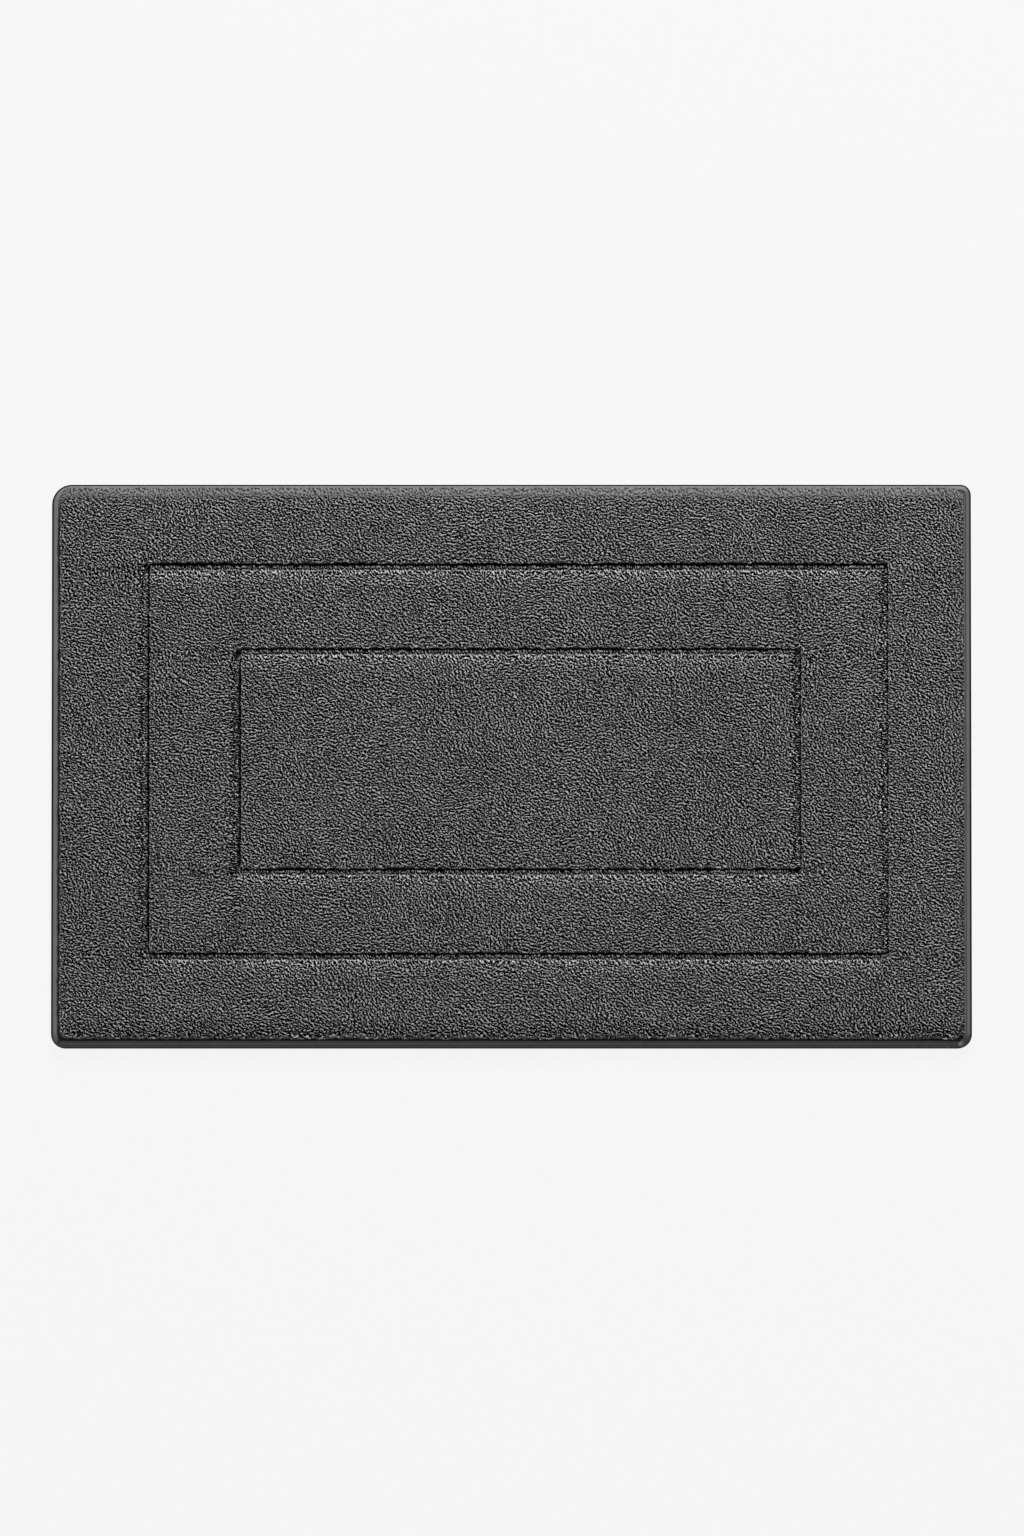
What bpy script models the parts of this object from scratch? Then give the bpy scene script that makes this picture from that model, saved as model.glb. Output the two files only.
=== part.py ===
"""A bound bath mat with a raised pile in three concentric fields, split by two narrow channels.

Units are metres and +Z is up. The origin is on the floor under the middle of the mat, +X runs along
its long side and +Y points to its back edge. The mat is a sandwich, from the floor up: a grip sheet, a
foam cushion, a latex coat, the tufted cloth and the pile. A tape folded round the edge holds the layers
together. It is sewn by a needle thread above and a bobbin thread below.
"""

import math

import bmesh
import bpy

COLLECTION_NAME = "bath_mat"
CUTTERS_NAME = "bath_mat_cutters"

# Outline
MAT_LENGTH = 0.800
MAT_WIDTH = 0.500
MAT_CORNER = 0.014
GAP = 0.0003

# Edge tape, folded to a C round the edge, and its seam
TAPE_THICK = 0.0010
TAPE_HEIGHT = 0.0102
TAPE_TOP_REACH = 0.0052
TAPE_UNDER_REACH = 0.0110
TAPE_FOLD_RADIUS = 0.0009
THREAD_RADIUS = 0.0003

# Layers inside the tape
GRIP_THICK = 0.0026
FOAM_THICK = 0.0042
LATEX_THICK = 0.0006
CLOTH_THICK = 0.0006

# Pile fields and the channels between them, measured to each channel's middle line
PILE_HEIGHT = 0.0108
LOOP_HEIGHT = 0.0030
PILE_ROLL = 0.0030
FIELD_CORNER = 0.0050
CHANNEL_WIDTH = 0.0072
OUTER_CHANNEL = (0.6435, 0.3476)
INNER_CHANNEL = (0.4884, 0.1970)

# Care label, in a shallow pocket under the back edge
LABEL_SIZE = (0.030, 0.046)
LABEL_THICK = 0.0004
LABEL_X = -0.300

# Heights and insets that follow from the sizes above
FOAM_LOW = GRIP_THICK + GAP
LATEX_LOW = FOAM_LOW + FOAM_THICK + GAP
CLOTH_LOW = LATEX_LOW + LATEX_THICK + GAP
PILE_LOW = CLOTH_LOW + CLOTH_THICK + GAP
THREAD_ROOM = 2 * THREAD_RADIUS + 2 * GAP
LAYER_INSET = TAPE_THICK + GAP
PILE_INSET = TAPE_TOP_REACH + THREAD_ROOM
PAD_INSET = TAPE_UNDER_REACH + THREAD_ROOM

CORNER_SEGMENTS = 4
ROLL_SEGMENTS = 3
TOUCH = 1e-6

FINISHES = {
    "pile": ((0.085, 0.085, 0.086, 1.0), 0.95),
    "low_loops": ((0.060, 0.060, 0.061, 1.0), 0.95),
    "tape": ((0.110, 0.110, 0.112, 1.0), 0.85),
    "thread": ((0.095, 0.095, 0.097, 1.0), 0.70),
    "cloth": ((0.130, 0.130, 0.130, 1.0), 0.90),
    "latex": ((0.300, 0.295, 0.280, 1.0), 0.65),
    "foam": ((0.420, 0.420, 0.410, 1.0), 0.95),
    "grip": ((0.055, 0.055, 0.057, 1.0), 0.60),
    "label": ((0.800, 0.795, 0.780, 1.0), 0.80),
}


def clear_scene():
    for found in list(bpy.data.objects):
        bpy.data.objects.remove(found, do_unlink=True)


def new_collection(name):
    collection = bpy.data.collections.new(name)
    bpy.context.scene.collection.children.link(collection)
    return collection


def make_material(name, finish):
    colour, roughness = FINISHES[finish]
    material = bpy.data.materials.new(name + "_" + finish)
    material.use_nodes = True
    shader = material.node_tree.nodes["Principled BSDF"]
    shader.inputs["Base Color"].default_value = colour
    shader.inputs["Roughness"].default_value = roughness
    shader.inputs["Metallic"].default_value = 0.0
    return material


def add_part(name, mesh, finish, parts):
    mesh.materials.append(make_material(name, finish))
    made = bpy.data.objects.new(name, mesh)
    parts.objects.link(made)
    return made


def add_cutter(name, mesh, cutters):
    made = bpy.data.objects.new(name, mesh)
    made.hide_render = True
    made.display_type = "WIRE"
    cutters.objects.link(made)
    return made


def cut(target, cutter):
    modifier = target.modifiers.new(cutter.name, "BOOLEAN")
    modifier.operation = "DIFFERENCE"
    modifier.solver = "EXACT"
    modifier.object = cutter


def inset_size(inset):
    return (MAT_LENGTH - 2 * inset, MAT_WIDTH - 2 * inset)


def inset_corner(inset):
    return MAT_CORNER - inset


def is_upright(edge):
    return abs(edge.verts[0].co.z - edge.verts[1].co.z) > GAP


def round_edges(bm, edges, radius, segments):
    bmesh.ops.bevel(bm, geom=edges, offset=radius, segments=segments, profile=0.5, affect="EDGES")


def roll_top_edges(bm, radius):
    """Rounds the edges where the top face meets a wall."""
    bm.normal_update()
    top = max(vert.co.z for vert in bm.verts)
    rim = [
        edge
        for edge in bm.edges
        if all(abs(vert.co.z - top) < TOUCH for vert in edge.verts)
        and any(abs(face.normal.z) < 0.5 for face in edge.link_faces)
    ]
    round_edges(bm, rim, radius, ROLL_SEGMENTS)


def finish_mesh(bm, name):
    bmesh.ops.recalc_face_normals(bm, faces=bm.faces)
    mesh = bpy.data.meshes.new(name)
    bm.to_mesh(mesh)
    bm.free()
    return mesh


def slab(name, size, low, high, corner=0.0, roll=0.0):
    """A flat rectangular slab, with round corners in plan and a rolled top edge where they are given."""
    bm = bmesh.new()
    bmesh.ops.create_cube(bm, size=1.0)
    bmesh.ops.scale(bm, vec=(*size, high - low), verts=bm.verts)
    bmesh.ops.translate(bm, vec=(0.0, 0.0, (high + low) / 2), verts=bm.verts)
    if corner:
        round_edges(bm, [edge for edge in bm.edges if is_upright(edge)], corner, CORNER_SEGMENTS)
    if roll:
        roll_top_edges(bm, roll)
    return finish_mesh(bm, name)


def ring(name, outside, hole, low, high, corners, roll=0.0):
    """A rectangular ring. It starts as a plain three by three grid without its middle face."""
    bm = bmesh.new()
    bmesh.ops.create_grid(bm, x_segments=3, y_segments=3, size=1.5)
    middle = min(bm.faces, key=lambda face: face.calc_center_median().length)
    bmesh.ops.delete(bm, geom=[middle], context="FACES_ONLY")
    for vert in bm.verts:
        half_x = (outside[0] if abs(vert.co.x) > 1.0 else hole[0]) / 2
        half_y = (outside[1] if abs(vert.co.y) > 1.0 else hole[1]) / 2
        vert.co = (math.copysign(half_x, vert.co.x), math.copysign(half_y, vert.co.y), low)
    raised = bmesh.ops.extrude_face_region(bm, geom=list(bm.faces))["geom"]
    lifted = [item for item in raised if isinstance(item, bmesh.types.BMVert)]
    bmesh.ops.translate(bm, vec=(0.0, 0.0, high - low), verts=lifted)
    for size, corner in zip((outside, hole), corners, strict=True):
        at_corner = [
            edge
            for edge in bm.edges
            if is_upright(edge)
            and abs(abs(edge.verts[0].co.x) - size[0] / 2) < TOUCH
            and abs(abs(edge.verts[0].co.y) - size[1] / 2) < TOUCH
        ]
        round_edges(bm, at_corner, corner, CORNER_SEGMENTS)
    if roll:
        roll_top_edges(bm, roll)
    return finish_mesh(bm, name)


def channel_edge(channel, side, clearance=0.0):
    """Plan size of a channel's outer edge (side 1) or inner edge (side -1)."""
    return tuple(size + side * (CHANNEL_WIDTH - 2 * clearance) for size in channel)


def build_pile_fields(parts):
    high = PILE_LOW + PILE_HEIGHT
    outer = ring(
        "outer_pile_frame",
        inset_size(PILE_INSET),
        channel_edge(OUTER_CHANNEL, 1),
        PILE_LOW,
        high,
        (inset_corner(PILE_INSET), FIELD_CORNER),
        PILE_ROLL,
    )
    middle = ring(
        "middle_pile_frame",
        channel_edge(OUTER_CHANNEL, -1),
        channel_edge(INNER_CHANNEL, 1),
        PILE_LOW,
        high,
        (FIELD_CORNER, FIELD_CORNER),
        PILE_ROLL,
    )
    centre = slab(
        "centre_pile_panel",
        channel_edge(INNER_CHANNEL, -1),
        PILE_LOW,
        high,
        FIELD_CORNER,
        PILE_ROLL,
    )
    for mesh in (outer, middle, centre):
        add_part(mesh.name, mesh, "pile", parts)


def build_channel_loops(parts):
    """Short loops floor each channel, just clear of the tall pile on both sides."""
    channels = {"outer_channel_loops": OUTER_CHANNEL, "inner_channel_loops": INNER_CHANNEL}
    for name, channel in channels.items():
        loops = ring(
            name,
            channel_edge(channel, 1, GAP),
            channel_edge(channel, -1, GAP),
            PILE_LOW,
            PILE_LOW + LOOP_HEIGHT,
            (FIELD_CORNER - GAP, FIELD_CORNER + GAP),
        )
        add_part(name, loops, "low_loops", parts)


def build_inner_layers(parts):
    layers = (
        ("foam_core", FOAM_LOW, FOAM_THICK, "foam"),
        ("tuft_lock_latex", LATEX_LOW, LATEX_THICK, "latex"),
        ("primary_backing", CLOTH_LOW, CLOTH_THICK, "cloth"),
    )
    for name, low, thick, finish in layers:
        layer = slab(name, inset_size(LAYER_INSET), low, low + thick, inset_corner(LAYER_INSET))
        add_part(name, layer, finish, parts)


def build_grip_sheet(parts, cutters):
    """Its rim steps up over the tape's lower flange, and a pocket takes the care label."""
    sheet = slab(
        "antislip_backing", inset_size(LAYER_INSET), 0.0, GRIP_THICK, inset_corner(LAYER_INSET)
    )
    backing = add_part(sheet.name, sheet, "grip", parts)
    rebate = ring(
        "tape_rebate",
        inset_size(-PAD_INSET),
        inset_size(PAD_INSET),
        -GRIP_THICK,
        TAPE_THICK + GAP,
        (MAT_CORNER, inset_corner(PAD_INSET)),
    )
    cut(backing, add_cutter(rebate.name, rebate, cutters))
    pocket_size = [side + 2 * GAP for side in LABEL_SIZE]
    pocket = slab("label_pocket", pocket_size, -GRIP_THICK, LABEL_THICK + 2 * GAP)
    pocket_cutter = add_cutter(pocket.name, pocket, cutters)
    pocket_cutter.location = label_centre()
    cut(backing, pocket_cutter)


def label_centre():
    return (LABEL_X, MAT_WIDTH / 2 - PAD_INSET - GAP - LABEL_SIZE[1] / 2, 0.0)


def build_care_label(parts):
    label = slab("care_label", LABEL_SIZE, GAP, GAP + LABEL_THICK)
    add_part(label.name, label, "label", parts).location = label_centre()


def build_edge_binding(parts, cutters):
    """A block of the mat's outline, hollowed until a C section open to the inside is left."""
    block = slab(
        "edge_binding", inset_size(0.0), 0.0, TAPE_HEIGHT, MAT_CORNER, TAPE_FOLD_RADIUS
    )
    binding = add_part(block.name, block, "tape", parts)
    beyond = TAPE_HEIGHT
    middle = TAPE_HEIGHT / 2
    openings = (
        ("tape_inside", TAPE_THICK, TAPE_THICK, TAPE_HEIGHT - TAPE_THICK),
        ("tape_top_opening", TAPE_TOP_REACH, middle, TAPE_HEIGHT + beyond),
        ("tape_under_opening", TAPE_UNDER_REACH, -beyond, middle),
    )
    for name, inset, low, high in openings:
        opening = slab(name, inset_size(inset), low, high, inset_corner(inset))
        cut(binding, add_cutter(name, opening, cutters))


def loop_points(size, corner):
    """Points round a rectangle with round corners, anticlockwise from the right side."""
    for quarter in range(4):
        middle_angle = math.pi / 4 + quarter * math.pi / 2
        centre_x = math.copysign(size[0] / 2 - corner, math.cos(middle_angle))
        centre_y = math.copysign(size[1] / 2 - corner, math.sin(middle_angle))
        for step in range(CORNER_SEGMENTS + 1):
            angle = (quarter + step / CORNER_SEGMENTS) * math.pi / 2
            yield centre_x + corner * math.cos(angle), centre_y + corner * math.sin(angle)


def build_seam_thread(name, inset, height, parts):
    """A thread laid round the whole mat along one edge of the tape."""
    points = list(loop_points(inset_size(inset), inset_corner(inset)))
    curve = bpy.data.curves.new(name, "CURVE")
    curve.dimensions = "3D"
    curve.bevel_depth = THREAD_RADIUS
    curve.bevel_resolution = 1
    spline = curve.splines.new("POLY")
    spline.points.add(len(points) - 1)
    for point, (x, y) in zip(spline.points, points, strict=True):
        point.co = (x, y, height, 1.0)
    spline.use_cyclic_u = True
    add_part(name, curve, "thread", parts)


def build_seam(parts):
    half_room = THREAD_ROOM / 2
    needle_height = PILE_LOW + half_room
    build_seam_thread("binding_needle_thread", TAPE_TOP_REACH + half_room, needle_height, parts)
    build_seam_thread("binding_bobbin_thread", TAPE_UNDER_REACH + half_room, half_room, parts)


def build():
    clear_scene()
    parts = new_collection(COLLECTION_NAME)
    cutters = new_collection(CUTTERS_NAME)
    build_edge_binding(parts, cutters)
    build_seam(parts)
    build_grip_sheet(parts, cutters)
    build_care_label(parts)
    build_inner_layers(parts)
    build_channel_loops(parts)
    build_pile_fields(parts)


build()
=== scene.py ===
"""The looks of a charcoal bath mat: curly tufted pile in three fields, low loops in the channels between
them, a smooth tape folded round the edge, and the layers below. Metres, +Z up, in the CAD frame."""

import math
from collections import namedtuple

import bpy
import numpy as np
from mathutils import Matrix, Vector


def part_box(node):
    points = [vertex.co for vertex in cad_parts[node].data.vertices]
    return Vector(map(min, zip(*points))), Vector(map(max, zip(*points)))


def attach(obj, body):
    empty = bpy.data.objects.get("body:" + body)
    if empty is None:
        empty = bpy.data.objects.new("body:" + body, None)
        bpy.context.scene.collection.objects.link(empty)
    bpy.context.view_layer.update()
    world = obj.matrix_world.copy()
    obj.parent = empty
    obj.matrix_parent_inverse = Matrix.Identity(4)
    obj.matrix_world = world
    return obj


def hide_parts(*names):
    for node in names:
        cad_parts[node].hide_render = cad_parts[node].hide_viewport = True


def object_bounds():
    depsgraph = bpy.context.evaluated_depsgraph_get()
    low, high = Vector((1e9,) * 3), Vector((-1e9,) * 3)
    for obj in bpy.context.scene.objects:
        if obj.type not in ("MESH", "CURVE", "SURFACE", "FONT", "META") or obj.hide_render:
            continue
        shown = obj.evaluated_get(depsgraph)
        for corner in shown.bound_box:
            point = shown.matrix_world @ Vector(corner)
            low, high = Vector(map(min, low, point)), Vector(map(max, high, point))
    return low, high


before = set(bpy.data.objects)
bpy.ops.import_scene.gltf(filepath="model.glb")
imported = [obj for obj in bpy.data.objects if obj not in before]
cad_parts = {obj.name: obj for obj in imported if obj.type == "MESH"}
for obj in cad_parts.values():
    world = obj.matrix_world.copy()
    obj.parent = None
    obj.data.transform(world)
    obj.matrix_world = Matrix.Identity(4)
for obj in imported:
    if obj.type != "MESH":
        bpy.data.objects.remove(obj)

cad_low, cad_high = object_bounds()
MM = 0.001

# Camera: nearly straight down, a long way off
CAMERA_ELEVATION = 77.6
CAMERA_LENS = 1100.0
CAMERA_REACH = 100.0
FRAME_TALL = 1.3371
SENSOR = 36.0
CAMERA_ASIDE = 0.45 * MM

# Studio: what the camera sees of the backdrop, what everything else sees, and the share of it on the floor
BACKDROP = (0.93, 0.93, 0.93, 1.0)
FLOOR_PAINT = (0.75, 0.75, 0.75, 1.0)
FILL_COLOUR = (1.0, 1.0, 1.0, 1.0)
FILL_STRENGTH = 0.13
FLOOR_GLOW = 0.955
FLOOR_SIZE = 60.0

# Round softboxes: azimuth and elevation, distance, size, and the strength that reaches the middle of the mat
KEY_LIGHT = (9.0, 44.0, 5.0, 1.15, 4.3)
FRONT_LIGHT = (190.0, 28.0, 3.0, 1.6, 0.3)

# Pile: mesh step along and across the mat, and down a wall
STEP_X = 0.65 * MM
STEP_Y = 0.50 * MM
STEP_WALL = 0.85 * MM

# Grain of the curly yarn: distance between grains, their direction, and how much they wander
GRAIN_STEP = 0.4 * MM
GRAIN_WAVE = 2.8 * MM
CURL_WAVE = 1.6 * MM
CURL_SHARE = 0.4
GRAIN_BAND = 0.54
GRAIN_COMB = 0.42
GRAIN_ANGLE = 0.96
GRAIN_TURN = 0.5
GRAIN_SWING = 2.4
GRAIN_SHARPNESS = 1.9
GRAIN_BIAS = 0.34
GRAIN_DEPTH = 5.0 * MM
GRAIN_LEAN = 0.6 * MM

# How a field's walls stand: those that face the back or the right slope out, the others hang over
SLOPE_OUTER = (7.2 * MM, 10.5 * MM)
SLOPE_GROOVE = (6.4 * MM, 6.6 * MM)
# Tufts part more on a cut slope: deeper hollows, painted darker as painted shade through the tip colours
SLOPE_BIAS = 0.4
SLOPE_GRAIN = 1.3
SLOPE_BULGE = 4.0
SLOPE_RUN = 0.85
LEAN_POWER = 1.15
COMB_SHARE = 0.7

# A line of raised tips along a rim (its run, width, share and tip), a painted highlight through the tip
# colours, and the painted highlight on the soft strip behind it
RIM_LINE = (0.18, 0.07, 0.72, 0.92)
RIM_STRIP = 0.3
RIM_STRIP_OUT = 2.0 * MM
RIM_PAINTED_LIGHT = 1.2
RIM_ENDS = 4.0 * MM

# Overhang, how far a pattern is drawn out along a wall, soft strips, and how far rims wander
UNDERCUT = 1.2 * MM
WALL_DRAW = 0.6
SLOPE_DRAW = 0.25
SOFT_REACH = 9.0 * MM
SPILL = (2.2 * MM, 7.4 * MM)
RAGGED = (0.6 * MM, 1.8 * MM)
RAGGED_FINE, RAGGED_BROAD, RAGGED_MIDDLE = 2.6, 1.2, 1.9
GROOVE_RAGGED = 0.62

# Painted shade on the yarn down a wall that faces along X or Y, by its share of the pile's height: darker
# towards the foot
WALL_SHADE_X = ((0.0, 0.06, 0.2, 0.98), (0.3, 0.7, 0.95, 1.0))
WALL_SHADE_Y = ((0.0, 0.12, 0.9), (0.15, 0.7, 1.0))

# The same painted shade down a wall that slopes into a channel, by how far out it has come. Above 1 it is
# painted light: a painted highlight near the rim and brighter lit slopes
SLOPE_SHADE_X = ((0.0, 0.08, 0.14, 0.3, 0.5, 0.8, 1.0), (1.0, 1.3, 2.0, 1.9, 1.5, 1.3, 0.3))
SLOPE_SHADE_Y = ((0.0, 0.1, 0.17, 0.24, 0.6, 0.8, 1.0), (1.0, 1.2, 1.65, 1.12, 0.75, 0.35, 0.15))
ROLL = 2.6 * MM
SMOOTH_TIP = 0.77
BRUSHED_MOST = 0.96
PILE_CALM = 0.18
CROWN_DROP = 1.3 * MM
CROWN_REACH = 8.0 * MM

# Short loops in the channels
STEP_LOOP = 0.55 * MM
LOOP_DEPTH = 1.2 * MM
LOOP_ROLL = 0.6 * MM

# Tape folded round the edge: its section, the radius of each corner, and the lap where its ends meet
TAPE_THICK = 1.0 * MM
TAPE_TOP_REACH = 5.2 * MM
TAPE_UNDER_REACH = 11.0 * MM
TAPE_SHOULDER = 1.3 * MM
TAPE_CROWN = 1.0 * MM
TAPE_SWELL = (0.3 * MM, 0.9 * MM)
TAPE_HEEL = 1.0 * MM
TAPE_PULL = 0.5 * MM
TAPE_STEP = 1.8 * MM
TAPE_CORNERS = (8.5 * MM, 17.0 * MM, 12.5 * MM, 12.5 * MM)
TAPE_LAP = 14.0 * MM
TAPE_LAP_X = 150.0 * MM
TAPE_LAP_RISE = 0.35 * MM

# Painted shading on the tape. By the Y it faces: the top of its painted heel shadow in millimetres, and the
# painted light or shade of that side
HEEL_TOP = ((-1, 0, 1), (5.4, 4.0, 1.8))
HEEL_FADE = 0.7 * MM
HEEL_DEEP = 2.5 * MM
PAINTED_SIDE_SHADING = ((-1.0, -0.9, -0.3, 0.0, 1.0), (0.0, 0.3, 0.27, 0.2, 0.1))
TWILL_PITCH = 0.8 * MM

# Stitches that sew the tape on, above and below
STITCH_PITCH = 3.6 * MM
STITCH_LONG = 3.1 * MM
STITCH_THICK = 0.3 * MM
STITCH_BOW = 0.25 * MM
STITCH_SIDES = 6
STITCH_RINGS = ((-1.0, 0.3), (-0.86, 0.85), (-0.45, 1.0), (0.0, 1.0), (0.45, 1.0), (0.86, 0.85), (1.0, 0.3))

# The layers under the pile: the corner they share, the mesh step of each, and how much its faces wander
LAYER_CORNER = 12.7 * MM
CLOTH_STEP, CLOTH_WANDER = 5.0 * MM, 0.12 * MM
FOAM_STEP, FOAM_WANDER, FOAM_EDGE = 4.0 * MM, 0.2 * MM, 1.2 * MM

# Anti-slip sheet: its raised rim, the pad within it, and the dots that the mat stands on
RIM_WIDE, RIM_RISE, RIM_STEP = 10.9 * MM, 1.3 * MM, 0.3 * MM
DOT_PITCH_X, DOT_PITCH_Y = 7.2 * MM, 6.0 * MM
DOT_CELLS_X, DOT_CELLS_Y = 6, 5
DOT_FLAT, DOT_FOOT, DOT_RISE = 1.1 * MM, 2.3 * MM, 0.45 * MM
POCKET_SPARE, POCKET_RISE = 1.6 * MM, 1.0 * MM

# Care label
LABEL_STEP, LABEL_WAVE, LABEL_HEM = 0.7 * MM, 0.12 * MM, 2.2 * MM

# The grooves lie a little off the mat's middle: how far each rim is moved (left, right, front, back)
OUTER_HOLE_MOVE = (3.4 * MM, 3.3 * MM, 3.1 * MM, 2.1 * MM)
MIDDLE_MOVE = (2.65 * MM, 4.5 * MM, 1.9 * MM, 2.2 * MM)
MIDDLE_HOLE_MOVE = (5.3 * MM, 4.5 * MM, 2.85 * MM, 1.15 * MM)
CENTRE_MOVE = (5.0 * MM, 5.6 * MM, 1.65 * MM, 2.35 * MM)
CLEAR = 0.15 * MM
RIM_CORNER = 1.8 * MM

Outline = namedtuple("Outline", "left right front back corner")


# ---------------------------------------------------------------- camera, floor and light


def stand(name, data, place, turn):
    """Puts a camera or a lamp in the scene, at a place and turned."""
    made = bpy.data.objects.new(name, data)
    bpy.context.scene.collection.objects.link(made)
    made.location = place
    made.rotation_mode = "QUATERNION"
    made.rotation_quaternion = turn
    return made


def make_camera():
    data = bpy.data.cameras.new("camera")
    data.lens = CAMERA_LENS
    data.sensor_width = SENSOR
    data.clip_end = CAMERA_REACH
    angle = math.radians(CAMERA_ELEVATION)
    back = Vector((0.0, -math.cos(angle), math.sin(angle)))
    place = back * (FRAME_TALL * CAMERA_LENS / SENSOR) + Vector((CAMERA_ASIDE, 0.0, 0.0))
    bpy.context.scene.camera = stand("camera", data, place, (-back).to_track_quat("-Z", "Y"))


def cleared(thing):
    """The emptied node tree of a material or a world."""
    thing.use_nodes = True
    thing.node_tree.nodes.clear()
    return thing.node_tree


def make_floor():
    """A pale sweep. The camera sees it nearly shadowless; everything else sees plain pale paint."""
    bpy.ops.mesh.primitive_plane_add(size=FLOOR_SIZE)
    floor = bpy.context.object
    floor.name = "floor"
    material = bpy.data.materials.new("floor_paint")
    tree = cleared(material)
    paint = node(tree, "ShaderNodeBsdfDiffuse", Color=FLOOR_PAINT)
    glow = node(tree, "ShaderNodeEmission", Color=BACKDROP)
    mix_for_camera(tree, "ShaderNodeOutputMaterial", paint, glow, FLOOR_GLOW)
    floor.data.materials.append(material)


def make_world():
    world = bpy.data.worlds.new("studio")
    bpy.context.scene.world = world
    tree = cleared(world)
    fill = node(tree, "ShaderNodeBackground", Color=FILL_COLOUR, Strength=FILL_STRENGTH)
    seen = node(tree, "ShaderNodeBackground", Color=BACKDROP)
    mix_for_camera(tree, "ShaderNodeOutputWorld", fill, seen, 1.0)


def mix_for_camera(tree, output, unseen, seen, share):
    """Feeds an output with one shader and, where the camera looks at it, with a share of another."""
    mix = node(tree, "ShaderNodeMixShader")
    camera_ray = node(tree, "ShaderNodeLightPath").outputs["Is Camera Ray"]
    tree.links.new(compute(tree, "MULTIPLY", camera_ray, share), mix.inputs["Fac"])
    tree.links.new(unseen.outputs[0], mix.inputs[1])
    tree.links.new(seen.outputs[0], mix.inputs[2])
    tree.links.new(mix.outputs[0], node(tree, output).inputs["Surface"])


def make_softbox(name, azimuth, elevation, distance, size, strength):
    """A round softbox. Azimuth 0 stands behind the mat, and 90 at its right."""
    data = bpy.data.lights.new(name, "AREA")
    data.shape = "DISK"
    data.size = size
    data.energy = strength * math.pi * distance**2
    a, e = math.radians(azimuth), math.radians(elevation)
    source = Vector((math.sin(a) * math.cos(e), math.cos(a) * math.cos(e), math.sin(e)))
    stand(name, data, source * distance, source.to_track_quat("Z", "Y"))


# ---------------------------------------------------------------- noise


def smooth_noise(u, v, scale, seed):
    """Even noise from 0 to 1 whose blobs are about scale metres wide."""
    span = 2.0
    count = int(span / scale) + 3
    table = np.random.default_rng(seed).random((count, count))
    return read_table(table, (u + span / 2) / scale, (v + span / 2) / scale, True)


def read_table(table, gu, gv, eased=False):
    """The table's value between its cells, at gu cells along and gv cells across."""
    iu, iv = np.floor(gu).astype(int), np.floor(gv).astype(int)
    fu, fv = gu - iu, gv - iv
    if eased:
        fu, fv = fu * fu * (3 - 2 * fu), fv * fv * (3 - 2 * fv)
    low = table[iu, iv] * (1 - fu) + table[iu + 1, iv] * fu
    high = table[iu, iv + 1] * (1 - fu) + table[iu + 1, iv + 1] * fu
    return low * (1 - fv) + high * fv


def blend(a, b, share):
    return a + (b - a) * share


def combed_noise(wave, angle, seed):
    """Noise in grains about wave apart that lie square to angle, over the whole mat, with a spread of 1."""
    reach = (cad_high.x + 30 * MM, cad_high.y + 30 * MM)
    shape = tuple(int(2 * r / GRAIN_STEP) for r in reach)
    plain = np.random.default_rng(seed).standard_normal(shape)
    kx = np.fft.fftfreq(shape[0], GRAIN_STEP)[:, None]
    ky = np.fft.rfftfreq(shape[1], GRAIN_STEP)[None, :]
    k = np.hypot(kx, ky) + 1e-9
    in_band = np.exp(-np.log(k * wave) ** 2 / (2 * GRAIN_BAND**2))
    in_line = np.exp(GRAIN_COMB * (np.cos(2 * (np.arctan2(ky, kx) - angle)) - 1))
    made = np.fft.irfft2(np.fft.rfft2(plain) * in_band * in_line, s=shape)
    return made / made.std()


def grain_tables(wave, seed):
    """Three combings of the same grain, turned a little from each other."""
    return [combed_noise(wave, GRAIN_ANGLE + turn * GRAIN_TURN, seed + turn) for turn in (-1, 0, 1)]


def read_grain(tables, u, v, swing):
    """Grain height at each point, which leans from one combing to the next as swing goes from -1 to 1."""
    gu, gv = (np.asarray(w) / GRAIN_STEP + size / 2 for w, size in zip((u, v), tables[0].shape))
    weights = [np.exp(-((swing - turn) ** 2) / 0.3) for turn in (-1, 0, 1)]
    mixed = sum(weight * read_table(table, gu, gv) for weight, table in zip(weights, tables))
    return mixed / np.sqrt(sum(weight**2 for weight in weights))


# ---------------------------------------------------------------- meshes


def new_piece(name, points, quads, caps, material, uv=None, attributes=None):
    """A smooth closed mesh from numpy rows. caps are flat many-sided faces, each a list of points."""
    mesh = bpy.data.meshes.new(name)
    mesh.vertices.add(len(points))
    mesh.vertices.foreach_set("co", np.ascontiguousarray(points, np.float32).ravel())
    corners = np.concatenate([quads.ravel(), *caps]) if caps else quads.ravel()
    sizes = np.array([4] * len(quads) + [len(cap) for cap in caps])
    mesh.loops.add(len(corners))
    mesh.loops.foreach_set("vertex_index", corners.astype(np.int32))
    mesh.polygons.add(len(sizes))
    starts = np.concatenate([[0], np.cumsum(sizes)[:-1]])
    mesh.polygons.foreach_set("loop_start", starts.astype(np.int32))
    mesh.update(calc_edges=True)
    mesh.shade_smooth()
    for key, values in (attributes or {}).items():
        mesh.attributes.new(key, "FLOAT", "POINT").data.foreach_set("value", values.astype(np.float32))
    if uv is not None:
        layer = mesh.uv_layers.new(name="OFBake")
        layer.data.foreach_set("uv", uv(corners, len(quads) * 4).astype(np.float32).ravel())
    mesh.materials.append(material)
    piece = bpy.data.objects.new(name, mesh)
    bpy.context.scene.collection.objects.link(piece)
    return piece


def place(piece, slot, *nodes):
    """Every piece rides on the one body and stands for CAD nodes, whose own meshes it hides. slot is not
    used.
    """
    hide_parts(*nodes)
    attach(piece, "root")
    return piece


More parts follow.
